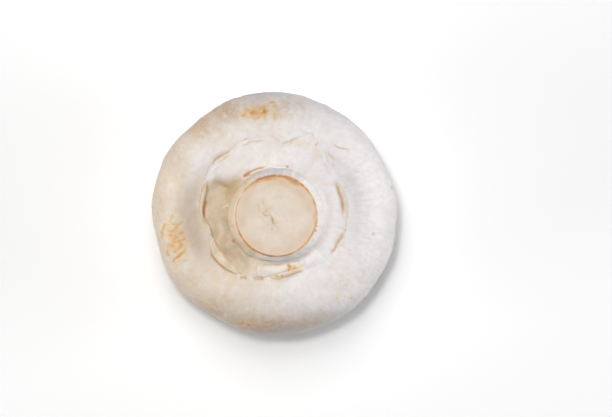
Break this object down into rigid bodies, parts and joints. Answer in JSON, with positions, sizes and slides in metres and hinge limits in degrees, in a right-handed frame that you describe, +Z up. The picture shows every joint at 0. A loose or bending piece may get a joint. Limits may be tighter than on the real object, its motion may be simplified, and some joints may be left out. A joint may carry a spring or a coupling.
{
  "type": "button mushroom",
  "caption": "Closed-cup mushroom lying on its rounded cap, with a short trimmed stem standing up inside the torn veil and the rolled cap margin.",
  "frame": {"origin": "on the resting surface, under the middle of the cap", "axes": "+Z up from the cap's crown towards the cut end of the stem, +X and +Y across the cap, with the torn veil's deep hollow on the -X side and its broad folded flap on the -Y side"},
  "size_m": [0.0482, 0.0478, 0.03],
  "materials": {
    "cap_skin": "matte",
    "stem_flesh": "matte",
    "veil_membrane": "matte"
  },
  "bodies": {
    "root": {"cap": "cap_skin", "stem": "stem_flesh", "veil": "veil_membrane"}
  },
  "joints": []
}
